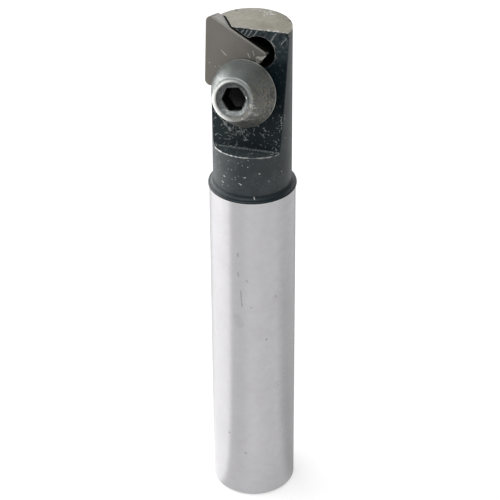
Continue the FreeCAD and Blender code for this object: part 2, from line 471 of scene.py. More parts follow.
def turned_in_plane(tree, place, angle):
    """The same place with its X axis turned in the plane of X and Y."""
    node = tree.add("ShaderNodeMapping", {"Vector": place}, vector_type="TEXTURE")
    node.inputs["Rotation"].default_value = (0.0, 0.0, math.radians(angle))
    return node.outputs[0]


def radius_of(tree, place):
    """The distance from the Z axis, in millimetres."""
    flat = tree.vector("MULTIPLY", place, (1.0 / MM, 1.0 / MM, 0.0))
    return tree.vector("LENGTH", flat)


def across_view(tree, place):
    """Places across the front of the tool and up it, and a mask of that front."""
    across = tree.dot(place, toward(90.0, 0.0))
    front = tree.fade(tree.dot(place, toward(0.0, 0.0)), 0.0, 1.0 * MM)
    rise = tree.axis(place, "Z")
    return tree.joined(X=across, Y=rise), front


def strokes(tree, place, lines, width, bend):
    """Several scratches, each from one point to another in millimetres."""
    mask = 0.0
    for start, end in lines:
        ends = {"From": (*start, 0.0), "To": (*end, 0.0)}
        mask = tree.most(mask, tree.use("Stroke", Position=place, Width=width, Bend=bend, **ends))
    return mask


# Marks that show in the photograph, in millimetres: across and up the flat, X and Y on the end face,
# and on the shank across the view and up. The glints and the break's facets are painted highlights

FLAT_CUTS = (
    ((0.09, -1.47), (1.12, -0.17)), ((-0.48, -1.28), (0.33, -0.27)), ((-1.05, -1.46), (-0.25, -0.20)),
    ((-1.52, -1.27), (-0.86, -0.28)), ((-2.28, -0.93), (-1.70, -0.17)), ((2.95, -1.41), (3.66, -0.21)),
    ((4.32, -1.73), (4.97, -0.81)), ((2.95, -1.34), (3.52, -2.18)),
)
FLAT_SCRATCHES = (
    ((-4.69, -12.17), (-2.39, -14.79)), ((-3.69, -13.21), (-2.54, -14.51)),
    ((-2.97, -13.99), (-1.53, -15.55)), ((-1.14, -14.17), (0.02, -15.92)),
    ((-0.98, -15.03), (-0.16, -14.33)), ((-4.33, -16.82), (-4.18, -17.25)),
    ((-1.37, -16.41), (-1.29, -16.77)), ((-3.21, -16.22), (-2.22, -16.09)),
    ((4.65, -12.07), (4.77, -13.79)),
)
SHANK_MARKS = (
    ((-2.1, 42.9), (-2.05, 42.5)), ((-2.1, 39.7), (-2.0, 39.2)), ((-0.9, 38.6), (-0.7, 38.3)),
    ((-1.7, 36.8), (-1.55, 34.2)), ((-0.3, 34.2), (-0.2, 34.0)), ((3.15, 35.5), (3.2, 35.2)),
)
SHANK_SMUDGE = (((-2.3, 32.2), (-1.9, 31.0)),)
NECK_GLINTS = (
    ((-1.84, 53.86), (-1.55, 53.75)), ((0.2, 51.85), (0.32, 51.55)), ((-1.15, 54.85), (-0.98, 54.9)),
    ((-4.12, 53.4), (-4.0, 53.3)), ((0.9, 55.55), (1.0, 55.45)), ((-3.84, 54.36), (-3.76, 54.28)),
)
FLAT_KNOTS = (((-2.9, -14.3), (-2.2, -15.2)), ((-1.0, -14.5), (-0.2, -15.3)), ((4.7, -12.2), (4.8, -13.6)))
END_SCRATCHES = (
    ((-0.05, 4.87), (1.25, 3.64)), ((0.82, 3.22), (1.03, 5.0)), ((0.86, 5.0), (2.03, 3.85)),
    ((1.36, 4.77), (1.72, 5.1)),
)
END_NICKS = (
    ((-3.49, 4.26), (-3.11, 3.89)), ((3.40, 4.38), (3.85, 3.71)), ((4.46, 2.95), (4.87, 2.44)),
    ((-4.73, 1.57), (-4.24, 1.40)), ((-4.20, 0.94), (-3.66, 0.70)), ((-3.71, 0.05), (-3.39, -0.39)),
)
END_GLINTS = (((2.39, -0.62), (2.59, -0.77)), ((3.39, -0.78), (3.78, -0.75)))
BREAK_FACET_HIGHLIGHTS = (
    ((1.12, -3.86), (1.45, -3.94)), ((1.75, -3.90), (2.30, -3.66)), ((1.05, -4.50), (1.30, -4.62)),
)
HEAD_SCUFFS = (
    ((2.6, -0.5), (3.1, -0.9)), ((2.4, -1.4), (3.0, -1.8)), ((1.6, -2.5), (2.3, -2.6)),
)
SOCKET_BURR = (((1.62, 0.42), (1.68, 0.38)),)
RAKE_SCRATCHES = (
    ((-3.79, -3.36), (-3.02, -4.04)), ((-5.42, -5.26), (-5.35, -5.40)), ((-4.58, -5.73), (-4.49, -5.77)),
    ((-4.02, -5.70), (-3.94, -5.74)), ((-0.07, -3.45), (0.15, -3.99)), ((0.60, -2.95), (0.75, -3.56)),
)


def ground_shank(finish, shank_length):
    """Satin ground steel with faint rings, blotches, a few dark specks and a painted highlight under the
    collar.
    """
    material, tree, shader, place = new_material("ground_shank", 1.0)
    cloud = tree.cloud(place, 6.0)
    haze = tree.cloud(place, 1.2)
    grain = tree.use("Turned grain", Position=place, Along=3.0, Across=0.06)
    specks = tree.use("Specks", Position=place, Spacing=3.2, Size=0.08, Share=0.35)
    patches = tree.plus(tree.times(cloud, 0.35), tree.times(haze, 0.25))
    shade = tree.blend(patches, finish.ground_steel, finish.ground_shade)
    # Painted highlight: a ragged near white line along the shank's edge under the collar
    below = tree.minus(shank_length / MM, tree.mm(place, "Z"))
    bright = tree.use("Edge wear", Position=place, Distance=below, Width=0.22, Raggedness=0.15)
    shade = tree.blend(tree.times(bright, 0.6), shade, finish.worn_and_highlight)
    seen, front = across_view(tree, place)
    marks = tree.times(front, strokes(tree, seen, SHANK_MARKS, 0.14, 0.12))
    smudge = tree.times(front, strokes(tree, seen, SHANK_SMUDGE, 0.9, 0.2))
    marks = tree.most(tree.times(marks, 0.35), tree.times(smudge, 0.10))
    marks = tree.most(marks, tree.times(specks, 0.3))
    shade = tree.blend(marks, shade, finish.stain)
    rough = tree.plus(0.19, tree.times(grain, 0.06))
    dress(tree, shader, shade, rough, haze, 0.05, bump(tree, grain, 0.12, 0.01))
    shader["Anisotropic"].default_value = 0.8
    shader["Anisotropic Rotation"].default_value = 0.25
    round_axis = tree.add("ShaderNodeTangent", direction_type="RADIAL", axis="Z").outputs[0]
    tree.feed(shader["Tangent"], round_axis)
    return material


def black_oxide(name, specular, roughness, dusty, finish, seat, flat_length):
    """Black oxide on the turned neck and collar, with pale specks and a bright rim at the flat's foot."""
    material, tree, shader, place = new_material(name, 0.0, specular)
    cloud = tree.cloud(place, 2.5)
    fine = tree.cloud(place, 0.35)
    grain = tree.use("Turned grain", Position=place, Along=2.0, Across=0.08)
    specks = tree.use("Specks", Position=place, Spacing=0.8, Size=0.12, Share=0.45)
    dust = tree.use("Specks", Position=place, Spacing=0.45, Size=0.16, Share=0.6)
    seen, front = across_view(tree, place)
    glints = tree.times(front, strokes(tree, seen, NECK_GLINTS, 0.09, 0.1))
    left = tree.fade(tree.axis(seen, "X"), 0.0, -3.5 * MM, 0.25, 1.0)
    flecks = tree.use("Specks", Position=place, Spacing=0.5, Size=0.2, Share=0.3)
    flecks = tree.times(flecks, tree.times(left, 0.45 * dusty))
    glints = tree.most(glints, flecks)
    patches = tree.times(tree.times(cloud, fine), 0.7 * dusty)
    shade = tree.blend(patches, finish.oxide, finish.oxide_light)
    shade = tree.blend(tree.times(dust, 0.12 * dusty), shade, finish.streak)
    bare = tree.most(tree.times(specks, 0.6 * dusty), tree.times(glints, 0.75))
    shade = tree.blend(bare, shade, finish.bare)
    on_flat = placed(tree, place, seat)
    below = tree.sum("ABSOLUTE", tree.plus(tree.mm(on_flat, "Y"), flat_length / MM))
    outside = tree.fade(tree.mm(on_flat, "Z"), 0.3, 0.8)
    rim = tree.use("Edge wear", Position=place, Distance=below, Width=0.22, Raggedness=0.35)
    rubbed = tree.fade(tree.mm(on_flat, "X"), -2.0, 1.5, 1.0, 0.3)
    rim = tree.times(rim, tree.times(outside, rubbed))
    shade = tree.blend(rim, shade, finish.worn_and_highlight)
    normal = bump(tree, grain, 0.15, 0.01, bump(tree, fine, 0.15, 0.02))
    dress(tree, shader, shade, roughness, fine, 0.14, normal)
    return material


def milled_flat(finish, seat, flat_length):
    """Dark oxide on the milled flat, with slanting cutter marks and scratches, paler towards its ends as a
    painted reflection.
    """
    material, tree, shader, place = new_material("milled_flat", 0.0, 0.04)
    on_flat = placed(tree, place, seat)
    slanted = turned_in_plane(tree, on_flat, MARK_ANGLE)
    up = tree.mm(on_flat, "Y")
    across = tree.mm(on_flat, "X")
    feed_marks = tree.use("Streaks", Position=slanted, Length=2.6, Width=0.45, Share=0.55)
    fine_marks = tree.use("Streaks", Position=slanted, Length=1.2, Width=0.11, Share=0.5)
    near_top = tree.fade(up, -5.0, -1.2, 0.10, 1.0)
    marks = tree.most(tree.times(feed_marks, 0.5), tree.times(fine_marks, 0.8))
    marks = tree.times(marks, tree.times(near_top, tree.fade(across, -1.0, 2.0, 0.5, 1.0)))
    mottle = tree.cloud(on_flat, 0.55)
    mottle_fine = tree.cloud(on_flat, 0.15)
    right = tree.fade(across, 1.0, 3.0, 0.25, 0.75)
    mottle = tree.times(tree.times(mottle, right), tree.fade(up, -4.8, -2.2, 0.05, 1.0))
    cuts = strokes(tree, on_flat, FLAT_CUTS, 0.12, 0.12)
    cuts = tree.times(cuts, tree.fade(mottle_fine, 0.1, 0.6, 0.25, 1.0))
    scratches = strokes(tree, on_flat, FLAT_SCRATCHES, 0.08, 0.22)
    curls = tree.use("Curly scratches", Position=on_flat, Spacing=1.3, Width=0.02, Share=0.45)
    low = tree.fade(up, -10.5, -12.5, 0.3, 1.0)
    knots = tree.use("Curly scratches", Position=on_flat, Spacing=0.8, Width=0.03, Share=0.6)
    knots = tree.times(knots, strokes(tree, on_flat, FLAT_KNOTS, 1.0, 0.3))
    curls = tree.most(tree.times(curls, low), knots)
    specks = tree.use("Specks", Position=on_flat, Spacing=0.8, Size=0.10, Share=0.16)
    scuffs = tree.most(tree.times(curls, 0.8), tree.times(specks, 0.5))
    scuffs = tree.most(scuffs, tree.times(scratches, tree.fade(mottle_fine, 0.35, 0.6, 0.1, 0.8)))
    fillet = tree.fade(tree.sum("ABSOLUTE", tree.plus(up, flat_length / MM - 0.13)), 0.14, 0.04)
    scuffs = tree.most(scuffs, tree.times(fillet, tree.times(mottle_fine, 0.45)))
    worn = tree.most(tree.times(marks, 0.38), tree.most(tree.times(cuts, 0.6), scuffs))
    foot = tree.fade(up, 0.4 - flat_length / MM, 0.1 - flat_length / MM, 0.0, 2.0)
    low_left = tree.times(tree.fade(up, -9.5, -13.0, 0.0, 0.7), tree.fade(across, 2.0, -3.0))
    mottle = tree.most(mottle, tree.times(low_left, mottle_fine))
    # Painted reflection: the flat is paler towards its two ends and darker between them, under the screw's
    # head
    ends = tree.most(tree.fade(up, -5.0, -3.0), tree.fade(up, -10.5, -13.0))
    shade = tree.blend(tree.times(ends, 0.25), finish.milled, finish.oxide_light)
    shade = tree.blend(tree.most(mottle, tree.times(foot, mottle_fine)), shade, finish.oxide_light)
    shade = tree.blend(tree.times(worn, 0.85), shade, finish.streak)
    height = tree.plus(tree.times(marks, -1.0), tree.times(mottle, 0.6))
    dress(tree, shader, shade, 0.42, mottle, 0.12, bump(tree, height, 0.5, 0.02))
    return material


def end_face(finish, seat):
    """Bare end face, beige grey, scratched, with dark nicks on its rim and a bright edge along the flat."""
    material, tree, shader, place = new_material("end_face", 0.8)
    cloud = tree.cloud(place, 3.0)
    fine = tree.cloud(place, 0.5)
    curls = tree.use("Curly scratches", Position=place, Spacing=2.4, Width=0.02, Share=0.35)
    patches = tree.plus(tree.times(cloud, 0.6), tree.times(fine, 0.3))
    patches = tree.plus(patches, tree.fade(tree.mm(place, "X"), -4.0, 5.0, -0.35, 0.35))
    shade = tree.blend(patches, finish.end_face, finish.end_shade)
    marks = tree.most(tree.times(curls, 0.3), strokes(tree, place, END_SCRATCHES, 0.1, 0.6))
    behind = tree.times(tree.mm(placed(tree, place, seat), "Z"), -1.0)
    rim = tree.use("Edge wear", Position=place, Distance=behind, Width=0.22, Raggedness=0.3)
    marks = tree.most(marks, tree.times(rim, 0.55))
    marks = tree.most(marks, strokes(tree, place, END_GLINTS, 0.2, 0.1))
    shade = tree.blend(tree.times(marks, 0.75), shade, finish.bare)
    nicks = strokes(tree, place, END_NICKS, 0.16, 0.15)
    shade = tree.blend(nicks, shade, finish.milled)
    dress(tree, shader, shade, 0.42, fine, 0.15, bump(tree, fine, 0.2, 0.02))
    return material


def dark_hole(finish):
    """Walls of the holes and the pocket, near black oxide with little shine."""
    material, tree, shader, place = new_material("dark_hole", 0.0, 0.05)
    fine = tree.cloud(place, 0.3)
    dress(tree, shader, tree.blend(fine, finish.socket_grey, finish.milled), 0.45, fine, 0.2)
    return material


def worn_edge(finish, shank_length, neck_start, seat, flat_length):
    """Edges where the oxide is rubbed through to bare steel."""
    material, tree, shader, place = new_material("worn_edge", 1.0, 0.3)
    ragged = tree.use("Edge wear", Position=place, Distance=0.55, Width=1.0, Raggedness=0.8)
    height = tree.mm(place, "Z")
    on_shank = tree.fade(height, shank_length / MM + 0.1, shank_length / MM)
    on_neck = tree.fade(height, neck_start / MM, neck_start / MM + 1.0)
    on_flat = placed(tree, place, seat)
    up = tree.mm(on_flat, "Y")
    inner = tree.fade(tree.sum("ABSOLUTE", tree.mm(on_flat, "X")), 4.8, 4.4)
    inner = tree.times(inner, tree.fade(up, -4.4, -3.0, 0.1, 1.0))
    foot = tree.plus(up, flat_length / MM)
    ends = tree.most(tree.fade(up, -0.6, -0.2), tree.fade(foot, 0.6, 0.2))
    ragged = tree.times(ragged, tree.most(inner, ends))
    share = tree.most(tree.times(ragged, on_neck), on_shank)
    fine = tree.cloud(place, 0.3)
    tree.feed(shader["Metallic"], share)
    dress(tree, shader, tree.blend(share, finish.oxide, finish.bare), 0.3, fine, 0.15)
    return material


def carbide(name, metallic, shade_of, finish, seat):
    """Ground carbide with faint scratches, and painted shade that darkens it a little towards the inner
    tip.
    """
    material, tree, shader, place = new_material(name, metallic)
    on_flat = placed(tree, place, seat)
    cloud = tree.cloud(on_flat, 3.0)
    fine = tree.cloud(on_flat, 0.25)
    slanted = turned_in_plane(tree, on_flat, 60.0)
    lines = tree.use("Streaks", Position=slanted, Length=5.0, Width=0.05, Share=0.4)
    specks = tree.use("Specks", Position=on_flat, Spacing=1.6, Size=0.06, Share=0.25)
    darker = (*[0.6 * part for part in shade_of], 1.0)
    # Painted shade: darker towards the inner tip, beside the screw's head
    painted_shade_inward = tree.fade(tree.mm(on_flat, "X"), -4.0, 2.5, 0.0, 0.75)
    shade = tree.blend(tree.plus(tree.times(cloud, 0.25), painted_shade_inward), shade_of, darker)
    marks = tree.most(tree.times(lines, 0.08), tree.times(specks, 0.4))
    marks = tree.most(marks, tree.times(strokes(tree, on_flat, RAKE_SCRATCHES, 0.07, 0.08), 0.7))
    shade = tree.blend(marks, shade, finish.carbide_break)
    dress(tree, shader, shade, 0.38, fine, 0.1, bump(tree, fine, 0.08, 0.01))
    return material


def broken_carbide(finish, seat):
    """Rough broken carbide, painted dark in its depth as shade and painted bright on the facets as
    highlights.
    """
    material, tree, shader, place = new_material("carbide_break", 0.3)
    on_flat = placed(tree, place, seat)
    coarse = tree.cloud(on_flat, 0.5)
    fine = tree.cloud(on_flat, 0.12)
    facets = tree.most(strokes(tree, on_flat, BREAK_FACET_HIGHLIGHTS, 0.42, 0.05), tree.fade(fine, 0.62, 0.72))
    darker = (*[0.16 * part for part in finish.carbide_break], 1.0)
    shade = tree.blend(tree.times(facets, 0.95), darker, finish.carbide_break)
    shade = tree.blend(tree.times(coarse, 0.4), shade, darker)
    normal = bump(tree, fine, 0.8, 0.05, bump(tree, coarse, 0.6, 0.08))
    dress(tree, shader, shade, 0.35, fine, 0.2, normal)
    return material


def gap_from(tree, radius, rim_radius, height, rim_height):
    """The distance from a turned rim."""
    out = tree.minus(radius, rim_radius)
    up = tree.minus(height, rim_height)
    return tree.vector("LENGTH", tree.joined(X=out, Y=up))


def screw_head(finish, screw_frame, sizes):
    """Mottled grey head, painted lighter on top and darker on the left, with a worn rim painted as a
    highlight, a worn foot and a socket painted dark as shade.
    """
    material, tree, shader, place = new_material("screw_head", 0.85)
    on_screw = placed(tree, place, screw_frame)
    height = tree.mm(on_screw, "Z")
    across = tree.mm(on_screw, "X")
    radius = radius_of(tree, on_screw)
    cloud = tree.cloud(on_screw, 2.6)
    fine = tree.cloud(on_screw, 0.4)
    specks = tree.use("Specks", Position=on_screw, Spacing=0.8, Size=0.12, Share=0.2)
    mottle = tree.plus(tree.times(cloud, 0.5), tree.times(fine, 0.4))
    shade = tree.blend(mottle, finish.head_grey, finish.head_shade)
    # Painted light: the cone's upper side is made paler
    upper = tree.fade(tree.mm(on_screw, "Y"), 0.5, 3.5, 0.0, 0.3)
    shade = tree.blend(upper, shade, finish.head_painted_light)
    blots = tree.cloud(on_screw, 0.45)
    right = tree.minus(across, tree.times(tree.mm(on_screw, "Y"), 0.4))
    right = tree.fade(right, -0.5, 2.5)
    tan = tree.times(tree.fade(blots, 0.42, 0.6), tree.times(right, 0.85))
    shade = tree.blend(tan, shade, finish.head_tan)
    pits = tree.cloud(on_screw, 0.22)
    pitted = tree.times(tree.fade(pits, 0.55, 0.25), tree.times(right, 0.4))
    shade = tree.blend(pitted, shade, finish.oxide_light)
    scuffs = tree.times(strokes(tree, on_screw, HEAD_SCUFFS, 0.32, 0.25), tree.fade(pits, 0.4, 0.6))
    bare = tree.most(tree.times(specks, 0.35), tree.times(scuffs, 0.55))
    shade = tree.blend(bare, shade, finish.bare)
    # Painted shade: the cone's left side is darkened towards black
    shade = tree.blend(tree.fade(across, -2.6, -4.4, 0.0, 0.4), shade, studio_grey(0.0))
    # Painted highlight on the worn rim: strongest on the left, further in at the top, further out and wider
    # at the bottom
    rim_middle = (0.6 * sizes.rim_radius + 0.4 * sizes.dish_radius) / MM
    rim_r = tree.minus(rim_middle, tree.times(tree.mm(on_screw, "Y"), 0.08))
    rim_gap = gap_from(tree, radius, rim_r, height, sizes.head_height / MM)
    rim_width = tree.fade(tree.mm(on_screw, "Y"), 0.5, -2.5, 0.36, 0.6)
    rim = tree.use("Edge wear", Position=on_screw, Distance=rim_gap, Width=rim_width, Raggedness=0.12)
    rubbed = tree.fade(across, 1.0, -2.0, 0.12, 1.0)
    foot_gap = gap_from(tree, radius, sizes.head_radius / MM, height, sizes.head_band / MM)
    foot = tree.use("Edge wear", Position=on_screw, Distance=foot_gap, Width=0.16, Raggedness=0.5)
    worn = tree.most(tree.times(rim, rubbed), tree.times(foot, 0.35))
    shade = tree.blend(worn, shade, finish.worn_and_highlight)
    inside = tree.fade(radius, sizes.dish_radius / MM, sizes.dish_radius / MM - 0.08)
    inside = tree.times(inside, tree.fade(height, 1.0, 1.5))
    dish = tree.blend(fine, finish.dish, finish.head_shade)
    shade = tree.blend(inside, shade, dish)
    corner = sizes.socket_flats / math.sqrt(3.0) / MM
    mouth = (sizes.head_height - sizes.dish_depth) / MM
    burr = strokes(tree, on_screw, SOCKET_BURR, 0.2, 0.0)
    burr = tree.times(burr, tree.fade(height, mouth - 0.3, mouth - 0.1))
    shade = tree.blend(burr, shade, finish.worn_and_highlight)
    # Painted shade: the socket's walls below its mouth are near black
    deep = tree.fade(height, mouth - 0.05, mouth - 0.35)
    in_hole = tree.sum("LESS_THAN", radius, corner + 0.05)
    hole = tree.times(deep, in_hole)
    shade = tree.blend(hole, shade, finish.socket_grey)
    dress(tree, shader, shade, 0.38, fine, 0.16, bump(tree, mottle, 0.25, 0.02))
    return material


# Solids

LATHE_STEPS = 256
ROUND_STEPS = 96
HEAD_STEPS = 192
HAIR = 0.01 * MM

# Places of the materials in the lists of the body and the insert

BODY_OXIDE, BODY_FLAT, BODY_END, BODY_HOLES, BODY_EDGES, BODY_COLLAR = 1, 2, 3, 4, 5, 6
INSERT_FLANK, INSERT_BREAK, INSERT_EDGE = 1, 2, 3


def arc(middle, radius, start, end, steps):
    """Points of an arc in a plane, from one angle to another in degrees."""
    points = []
    for step in range(steps + 1):
        angle = math.radians(start + (end - start) * step / steps)
        points.append((middle[0] + radius * math.cos(angle), middle[1] + radius * math.sin(angle)))
    return points


def made_piece(name, solid, material_index):
    """A piece from a finished solid."""
    bmesh.ops.recalc_face_normals(solid, faces=solid.faces[:])
    for face in solid.faces:
        face.material_index = material_index
    mesh = bpy.data.meshes.new(name)
    solid.to_mesh(mesh)
    solid.free()
    piece = bpy.data.objects.new(name, mesh)
    bpy.context.scene.collection.objects.link(piece)
    return piece


def loft(name, rings, material_index=0):
    """A closed solid through rings of points. A ring of one point is an apex."""
    solid = bmesh.new()
    made = [[solid.verts.new(point) for point in ring] for ring in rings]
    for first, second in zip(made, made[1:]):
        count = max(len(first), len(second))
        for index in range(count):
            following = (index + 1) % count
            corners = [first[index % len(first)], first[following % len(first)]]
            corners += [second[following % len(second)], second[index % len(second)]]
            solid.faces.new(list(dict.fromkeys(corners)))
    for ring in (made[0], made[-1]):
        if len(ring) > 2:
            solid.faces.new(ring)
    return made_piece(name, solid, material_index)


def turned(name, outline, steps=LATHE_STEPS, material_index=0):
    """A turned solid about Z, from points of radius and height."""
    rings = []
    for radius, height in outline:
        if radius == 0.0:
            rings.append([Vector((0.0, 0.0, height))])
            continue
        angles = [2.0 * math.pi * step / steps for step in range(steps)]
        rings.append([Vector((radius * math.cos(a), radius * math.sin(a), height)) for a in angles])
    return loft(name, rings, material_index)


def move(piece, matrix):
    """Move the points of a piece and leave its origin where it is."""
    piece.data.transform(matrix)
    return piece


def settle(piece):
    """Make the piece's modifiers part of its mesh."""
    graph = bpy.context.evaluated_depsgraph_get()
    mesh = bpy.data.meshes.new_from_object(piece.evaluated_get(graph))
    old = piece.data
    piece.modifiers.clear()
    piece.data = mesh
    mesh.name = old.name
    bpy.data.meshes.remove(old)


def carve(piece, cutter, operation="DIFFERENCE"):
    """Cut one solid from another, or join it on. The cut faces keep the cutter's material index."""
    cut = piece.modifiers.new("cut", "BOOLEAN")
    cut.operation = operation
    cut.solver = "EXACT"
    cut.material_mode = "INDEX"
    cut.object = cutter
    settle(piece)
    used = cutter.data
    bpy.data.objects.remove(cutter)
    bpy.data.meshes.remove(used)


def clean(piece, gap):
    """Join points that nearly meet."""
    solid = bmesh.new()
    solid.from_mesh(piece.data)
    bmesh.ops.remove_doubles(solid, verts=solid.verts[:], dist=gap)
    bmesh.ops.dissolve_degenerate(solid, edges=solid.edges[:], dist=gap / 2)
    solid.to_mesh(piece.data)
    solid.free()


def soften(piece, width, material_index, sharpest=32.0):
    """Round the sharp edges with a material of their own and shade the rest smoothly."""
    for face in piece.data.polygons:
        face.use_smooth = True
    edge = piece.modifiers.new("edges", "BEVEL")
    edge.width = width
    edge.segments = 2
    edge.limit_method = "ANGLE"
    edge.angle_limit = math.radians(sharpest)
    edge.use_clamp_overlap = False
    edge.material = material_index
    settle(piece)
    piece.data.set_sharp_from_angle(angle=math.radians(40.0))
    weigh = piece.modifiers.new("normals", "WEIGHTED_NORMAL")
    weigh.keep_sharp = True


def paint(piece, materials):
    """Give a piece its materials, which its faces name by their place in the list."""
    for material in materials:
        piece.data.materials.append(material)


def enter(piece, body, node):
    """Give a piece its body and hide the solid that it stands for."""
    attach(piece, body)
    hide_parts(node)


# Places worked out from the sizes

MARK_ANGLE = 58.0


def seat_frame(body):
    """The middle of the flat's edge on the end face: x across the flat, y up it, z out of it."""
    lean = body.flat_lean
    across = Vector((1.0, 0.0, 0.0))
    up = Vector((0.0, math.sin(lean), math.cos(lean)))
    out = Vector((0.0, -math.cos(lean), math.sin(lean)))
    return frame_matrix(across, up, out, Vector((0.0, -body.flat_front, OVERALL_LENGTH)))


def screw_frame():
    """The foot of the screw's head, with z along the screw."""
    across = Vector((1.0, 0.0, 0.0)) - SCREW_AXIS * SCREW_AXIS.x
    across.normalize()
    return frame_matrix(across, SCREW_AXIS.cross(across), SCREW_AXIS, SCREW_BASE)


def frame_matrix(x_axis, y_axis, z_axis, origin):
    """A frame from its axes and origin."""
    turn = Matrix((x_axis, y_axis, z_axis)).transposed().to_4x4()
    turn.translation = origin
    return turn


def insert_middle(insert):
    """Middle of the rake face in the seat frame, and the radius of the circle inside the triangle."""
    inner = insert.side / (2.0 * math.sqrt(3.0))
    corner = (math.sqrt(3.0) - 1.0) * insert.nose_radius
    height = insert.end_reach + corner - insert.side / 2.0
    return Vector((inner - insert.side_reach, height, insert.rise)), inner


def triangle(middle, inner, corner_radius, steps):
    """A ring of points round a triangle with rounded corners that points along x."""
    ring = []
    for turn in (0.0, 120.0, 240.0):
        away = math.radians(turn)
        reach = 2.0 * (inner - corner_radius)
        centre = (middle.x + reach * math.cos(away), middle.y + reach * math.sin(away))
        for x, y in arc(centre, corner_radius, turn - 60.0, turn + 60.0, steps):
            ring.append(Vector((x, y, middle.z)))
    return ring


def body_outline(body):
    """Radius and height of the turned blank, from the shank's end to the end face."""
    rim_top = body.shank_length + body.collar_height - body.collar_land
    rim_edge = body.collar_radius - body.collar_crown
    shoulder = body.collar_radius - body.collar_land - body.neck_radius
    hollow_x = body.neck_radius + shoulder
    collar_top = body.shank_length + body.collar_height
    outline = [(SHANK_RADIUS - body.end_chamfer, 0.0), (SHANK_RADIUS, body.end_chamfer)]
    outline += [(SHANK_RADIUS, body.shank_length), (rim_edge, body.shank_length)]
    for step in range(1, 6):
        share = 2.0 * step / 6.0 - 1.0
        bulge = body.collar_crown * (1.0 - share * share)
        outline.append((rim_edge + bulge, body.shank_length + (rim_top - body.shank_length) * step / 6.0))
    outline += [(rim_edge, rim_top)]
    outline += arc((hollow_x, collar_top + shoulder), shoulder, 270.0, 180.0, 12)
    outline.append((body.neck_radius, OVERALL_LENGTH))
    return outline


def flat_cutter(body, seat):
    """What mills the flat, with its rounded foot."""
    half = 2.0 * body.neck_radius
    corner = (-body.flat_length + body.flat_corner, body.flat_corner)
    side = [(half, 0.0)] + arc(corner, body.flat_corner, 270.0, 180.0, 6)
    side += [(-body.flat_length, half), (half, half)]
    rings = [[Vector((x, y, z)) for y, z in side] for x in (-half, half)]
    return move(loft("flat_cutter", rings, BODY_FLAT), seat)


def pocket_cutter(body, insert, seat):
    """The insert's pocket, whose two walls lean as its flanks do."""
    middle, inner = insert_middle(insert)
    floor = insert.rise - insert.thickness
    rings = []
    for height in (floor, body.neck_radius):
        offset = (height - insert.rise) * math.tan(insert.clearance)
        upper = inner + offset + body.upper_wall_gap
        lower = inner + offset
        rise = (upper - lower) / math.sqrt(3.0)
        tip = Vector((middle.x + upper + lower, middle.y + rise, height))
        slope = Vector((math.cos(math.radians(30.0)), math.sin(math.radians(30.0)), 0.0))
        upward = Vector((-slope.x, slope.y, 0.0))
        start = body.pocket_tip_cut / slope.x
        run = insert.side + 2.0 * body.collar_radius
        rings.append([tip + upward * start, tip + upward * run, tip - slope * run, tip - slope * start])
    return move(loft("pocket_cutter", rings, BODY_HOLES), seat)


def relief_cutter(body, insert, seat):
    """The hole that clears the insert's inner tip."""
    middle, inner = insert_middle(insert)
    x = middle.x + 2.0 * inner - body.relief_from_tip
    y = middle.y + body.relief_up
    outline = [(body.relief_radius, -body.relief_depth), (body.relief_radius, body.neck_radius)]
    place = Matrix.Translation((x, y, 0.0))
    return move(turned("relief_cutter", outline, ROUND_STEPS, BODY_HOLES), seat @ place)


def bore_cutter(body):
    """The clamp screw's hole, right through the neck."""
    run = 4.0 * body.neck_radius
    outline = [(body.bore_radius, -run), (body.bore_radius, run)]
    return move(turned("bore_cutter", outline, ROUND_STEPS, BODY_HOLES), screw_frame())


class ENDMILL_OT_cutter_body(bpy.types.Operator):
    """Turn the body, mill its flat and pocket and wear its edges"""

    bl_idname = "endmill.cutter_body"
    bl_label = "Cutter body"

    def execute(self, context):
        mill = context.scene.end_mill
        body = mill.body
        seat = seat_frame(body)
        piece = turned("turned_body", body_outline(body))
        paint(piece, [
            ground_shank(mill.finish, body.shank_length),
            black_oxide("neck_oxide", 0.55, 0.30, 1.0, mill.finish, seat, body.flat_length),
            milled_flat(mill.finish, seat, body.flat_length),
            end_face(mill.finish, seat),
            dark_hole(mill.finish),
            worn_edge(mill.finish, body.shank_length, body.shank_length + 2.0 * MM, seat, body.flat_length),
            black_oxide("collar_oxide", 0.25, 0.40, 0.2, mill.finish, seat, body.flat_length),
        ])
        collar_top = body.shank_length + body.collar_height - body.collar_land
        neck_start = collar_top + body.collar_radius - body.neck_radius
        for face in piece.data.polygons:
            if face.center.z > body.shank_length - HAIR:
                face.material_index = BODY_OXIDE if face.center.z > neck_start else BODY_COLLAR
            if face.center.z > OVERALL_LENGTH - 0.1 * HAIR:
                face.material_index = BODY_END
        carve(piece, flat_cutter(body, seat))
        carve(piece, pocket_cutter(body, mill.insert, seat))
        carve(piece, relief_cutter(body, mill.insert, seat))
        carve(piece, bore_cutter(body))
        clean(piece, HAIR)
        soften(piece, body.worn_width / 2.0, BODY_EDGES)
        enter(piece, "holder", "cutter_body")
        return {"FINISHED"}


# Sizes and heights of the coarse and the fine roughness of broken carbide

BREAK_STEPS = 40
COARSE_SIZE, COARSE_HEIGHT = 0.55 * MM, 0.11 * MM
FINE_SIZE, FINE_HEIGHT = 0.18 * MM, 0.04 * MM
FINE_OFFSET = Vector((0.0, 0.0, 5.0 * MM))


